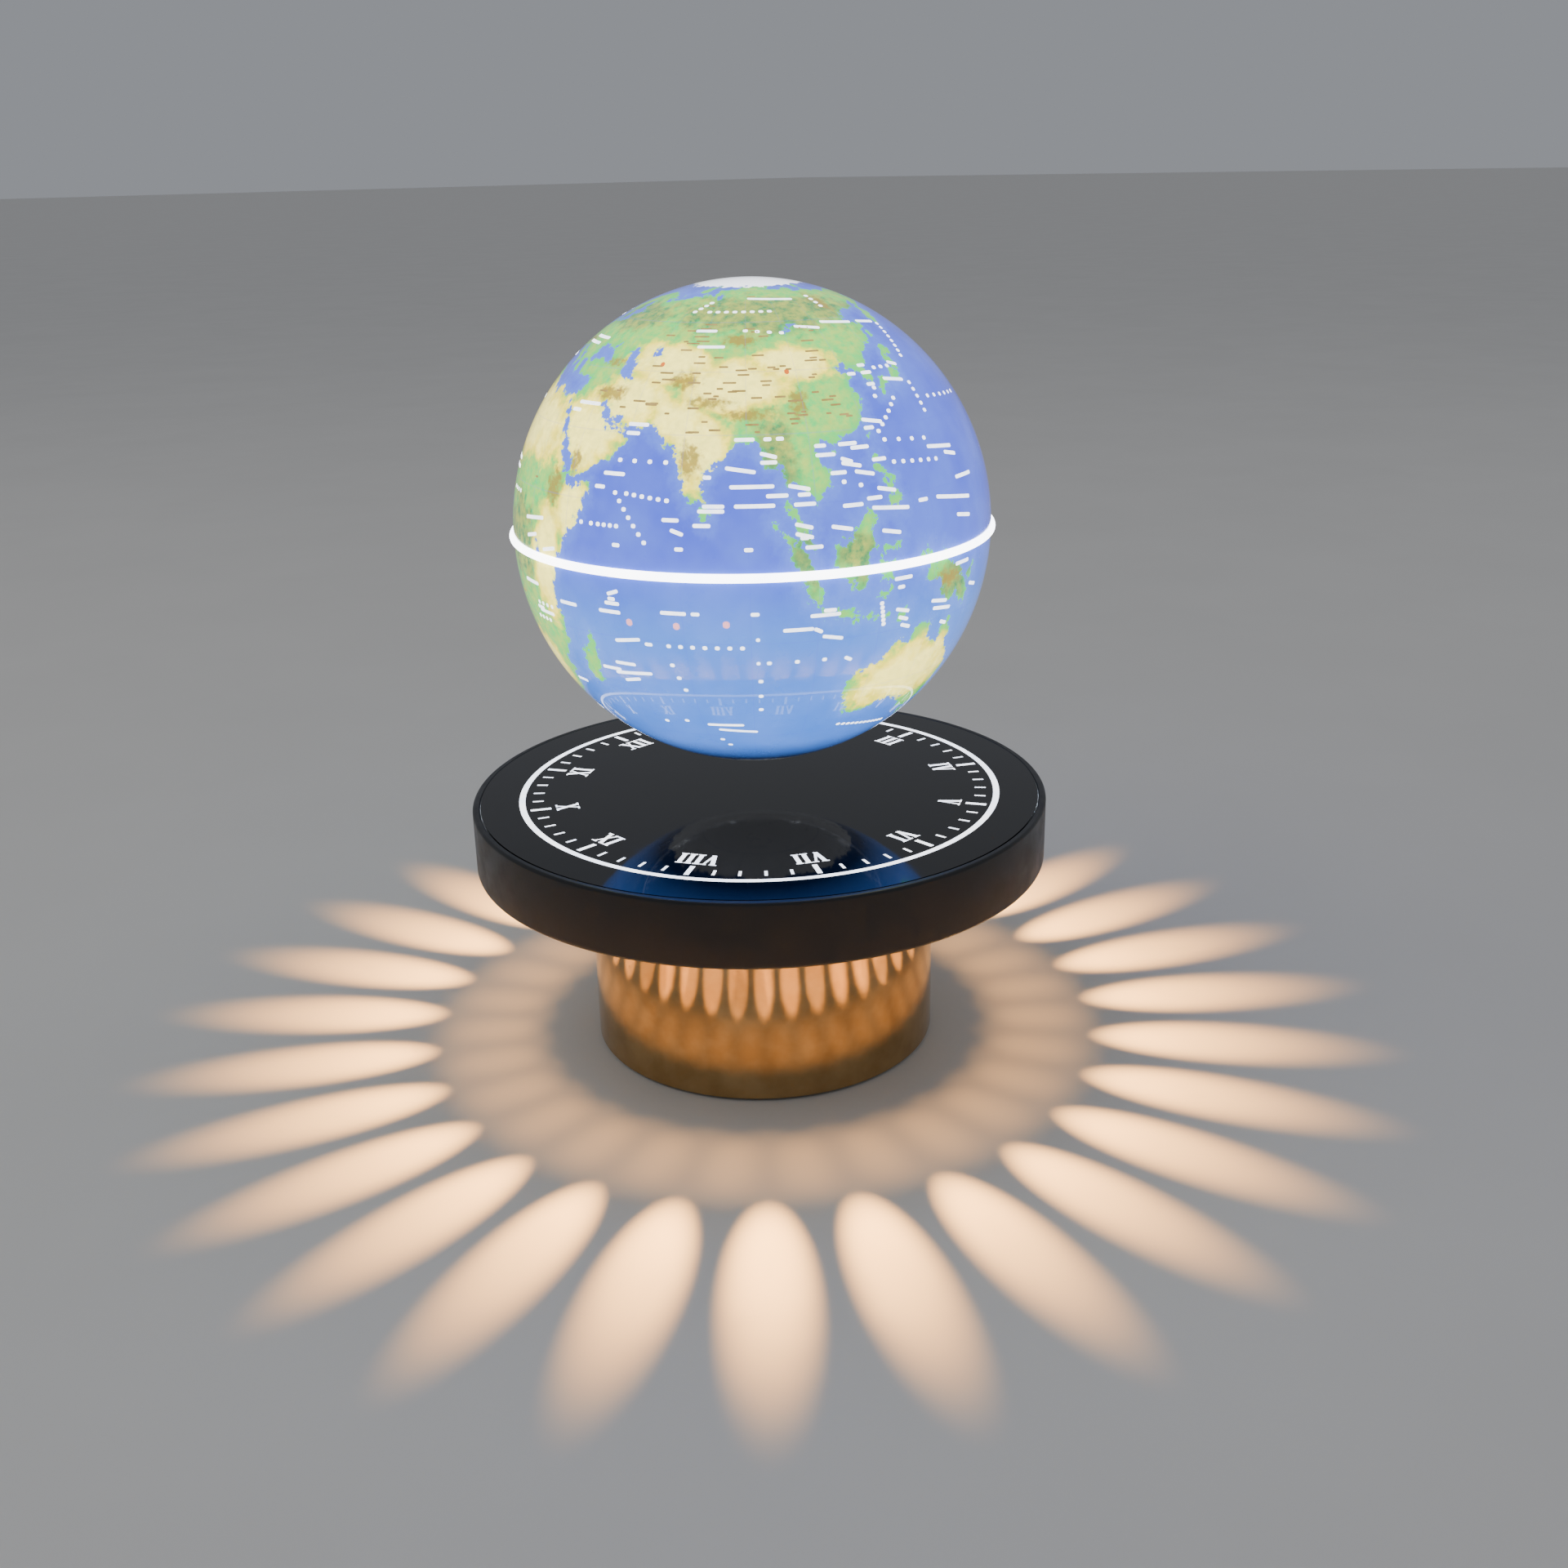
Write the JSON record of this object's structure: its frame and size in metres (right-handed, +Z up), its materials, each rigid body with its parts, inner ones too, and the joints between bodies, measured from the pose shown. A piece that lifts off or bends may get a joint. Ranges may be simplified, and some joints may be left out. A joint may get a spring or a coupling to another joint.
{
  "type": "levitating desktop globe",
  "caption": "Lit world globe that floats above a round black clock-dial head on a polished gold-tone drum stand.",
  "frame": {"origin": "centre of the stand's footprint, on the surface it stands on", "axes": "+Z up along the axis that the ball turns on, +Y to twelve o'clock at the rear, where the power inlet is, +X to three o'clock"},
  "size_m": [0.19, 0.19, 0.2503],
  "materials": {
    "printed_globe": "satin printed film, lit from inside",
    "band_glow": "opal, lit",
    "mark_glow": "opal, lit",
    "grey_plastic": "moulded",
    "screw_steel": "zinc plated",
    "copper_wire": "enamelled copper wire",
    "circuit_board": "solder mask on glass laminate",
    "lamp_chip": "phosphor",
    "chip_black": "moulded epoxy",
    "capacitor_can": "drawn can",
    "ferrite": "sintered",
    "opal_plastic": "opal",
    "nickel_magnet": "nickel plated",
    "black_satin": "satin moulded",
    "black_plastic": "moulded",
    "button_plastic": "satin moulded",
    "dial_gloss": "high gloss",
    "clear_plastic": "clear moulded",
    "ivory_plastic": "moulded",
    "white_plastic": "moulded",
    "plain_steel": "turned",
    "plain_brass": "turned",
    "gold_metal": "mirror polished",
    "foot_rubber": "moulded",
    "wire_cover": "extruded insulation"
  },
  "bodies": {
    "base": {"head_tray": "black_satin", "window_lens": "clear_plastic", "dial_face": "dial_gloss", "dial_border_ring": "dial_gloss", "hour_ring": "mark_glow", "hour_marks": "mark_glow", "minute_marks": "mark_glow", "hour_numerals": "mark_glow", "dial_light_guide": "clear_plastic", "transmitter_coil": "copper_wire", "ring_magnet": "ferrite", "yoke_plate": "plain_steel", "coil_bobbins": "ivory_plastic", "coil_windings": "copper_wire", "coil_cores": "plain_steel", "sensor_board": "circuit_board", "hall_sensors": "chip_black", "led_carrier": "white_plastic", "led_strip": "white_plastic", "led_chips": "lamp_chip", "head_screws": "screw_steel", "drum_sleeve": "gold_metal", "seat_ring": "gold_metal", "tie_posts": "plain_brass", "base_plate": "black_satin", "base_screws": "screw_steel", "rubber_feet": "foot_rubber", "ballast_disc": "plain_steel", "ballast_screws": "screw_steel", "board_standoffs": "plain_brass", "control_board": "circuit_board", "board_screws": "screw_steel", "controller_chip": "chip_black", "driver_chips": "chip_black", "filter_capacitors": "capacitor_can", "power_inductor": "ferrite", "board_connectors": "ivory_plastic", "wire_loom": "wire_cover", "panel_leads": "wire_cover", "rear_panel": "black_satin", "dc_jack": "black_plastic", "jack_pin": "screw_steel", "button_switch": "black_plastic", "switch_board": "circuit_board"},
    "float": {"levitation_magnet": "nickel_magnet"},
    "globe": {"globe_north_shell": "printed_globe", "globe_south_shell": "printed_globe", "equator_band": "band_glow", "pod_cup": "grey_plastic", "pod_lid": "grey_plastic", "pod_screws": "screw_steel", "receiver_coil": "copper_wire", "globe_board": "circuit_board", "globe_leds": "lamp_chip", "rectifier_chip": "chip_black", "globe_capacitor": "capacitor_can", "globe_choke": "ferrite", "lamp_dome": "opal_plastic"},
    "button": {"lamp_button": "button_plastic"}
  },
  "joints": [
    {"name": "globe_float", "type": "slide", "parent": "base", "child": "float", "axis": [0, 0, 1], "range_m": [-0.0135, 0.06], "stiffness_N_per_m": 100, "springref_m": 0.0273},
    {"name": "globe_spin", "type": "hinge", "parent": "float", "child": "globe", "pos_m": [0, 0, 0.1753], "axis": [0, 0, 1], "continuous": true},
    {"name": "lamp_button_press", "type": "slide", "parent": "base", "child": "button", "axis": [0, -1, 0], "range_m": [0, 0.0012], "stiffness_N_per_m": 1500}
  ]
}
